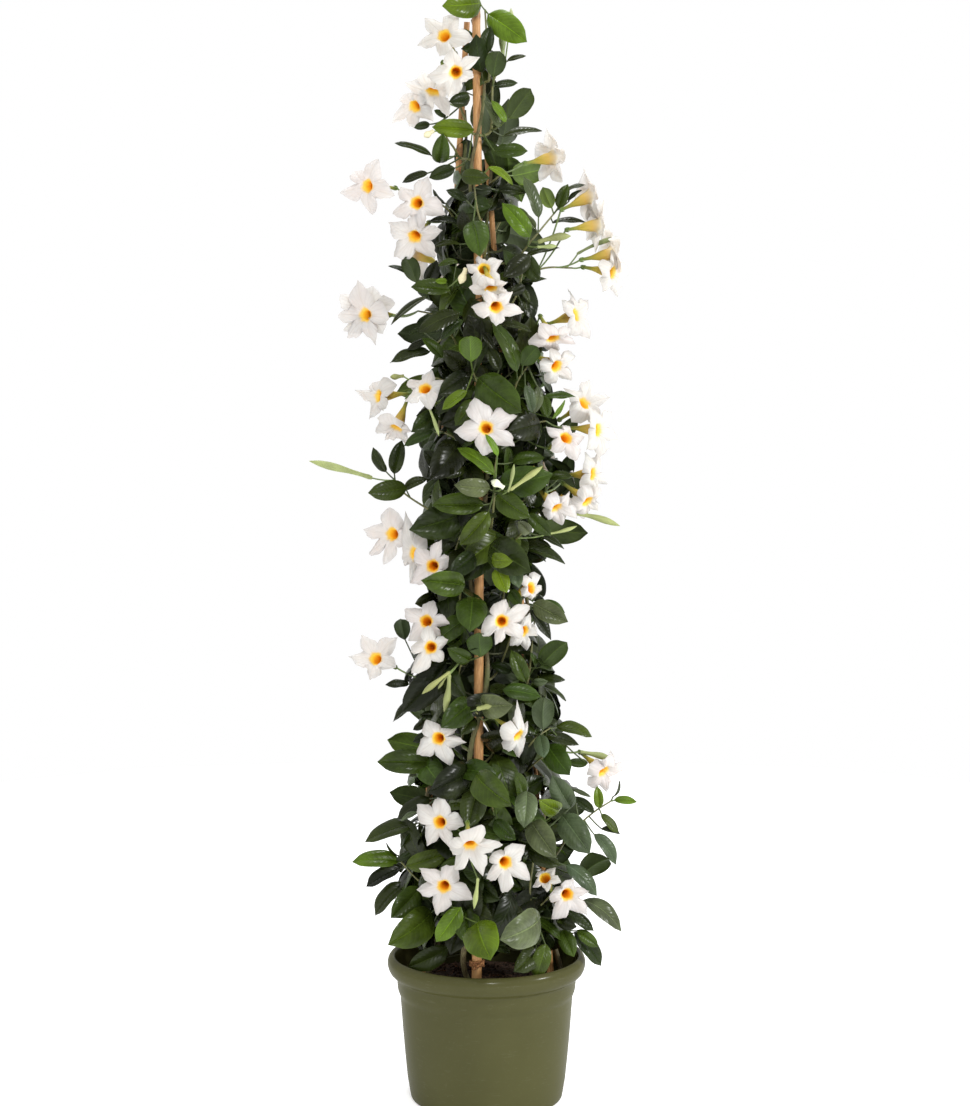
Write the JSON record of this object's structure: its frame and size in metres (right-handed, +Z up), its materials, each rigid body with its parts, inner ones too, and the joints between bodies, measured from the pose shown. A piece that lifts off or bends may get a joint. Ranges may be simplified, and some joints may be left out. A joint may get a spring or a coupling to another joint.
{
  "type": "potted mandevilla",
  "caption": "Flowering climbing plant with twining stems on bamboo canes, glossy leaves and white trumpet flowers, in a round olive nursery pot with a rolled rim.",
  "frame": {"origin": "middle of the pot's flat base", "axes": "+Z up along the plant and pot axis, -Y towards the front of the plant"},
  "size_m": [0.3586, 0.3056, 1.2133],
  "materials": {
    "pot": "satin",
    "soil": "matte",
    "cane": "satin",
    "tie": "matte",
    "vine": "matte",
    "leaf": "gloss",
    "petal": "matte"
  },
  "bodies": {
    "root": {"back_shoot_1": "leaf", "back_shoot_2": "leaf", "back_shoot_3": "leaf", "back_shoot_4": "leaf", "back_shoot_5": "leaf", "back_shoot_6": "leaf", "back_truss_1": "petal", "back_truss_2": "petal", "back_truss_3": "petal", "base_front_shoot": "leaf", "base_left_shoot": "leaf", "base_right_shoot": "leaf", "base_right_truss": "petal", "base_truss": "petal", "cane_front": "cane", "cane_left": "cane", "cane_right": "cane", "centre_front_shoot": "leaf", "centre_left_shoot": "leaf", "centre_right_shoot": "leaf", "centre_shoot": "leaf", "centre_truss": "petal", "crown_shoot": "leaf", "far_left_shoot": "leaf", "far_right_shoot": "leaf", "far_right_truss": "petal", "left_hanging_truss": "petal", "left_middle_shoot": "leaf", "left_middle_truss": "petal", "left_spray_shoot": "leaf", "left_top_truss": "petal", "low_centre_truss": "petal", "low_left_shoot": "leaf", "low_left_truss": "petal", "low_right_shoot": "leaf", "lower_centre_shoot": "leaf", "lower_centre_truss": "petal", "lower_left_shoot": "leaf", "lower_left_truss": "petal", "lower_right_shoot": "leaf", "middle_left_shoot": "leaf", "middle_right_shoot": "leaf", "pot": "pot", "right_hanging_truss": "petal", "right_low_truss": "petal", "right_middle_shoot": "leaf", "right_middle_truss": "petal", "right_top_truss": "petal", "right_upper_truss": "petal", "soil": "soil", "stem_front": "vine", "stem_inner": "vine", "stem_left": "vine", "stem_right": "vine", "tie": "tie", "top_left_shoot": "leaf", "top_right_shoot": "leaf", "top_truss": "petal", "upper_front_shoot": "leaf", "upper_right_shoot": "leaf"}
  },
  "joints": []
}
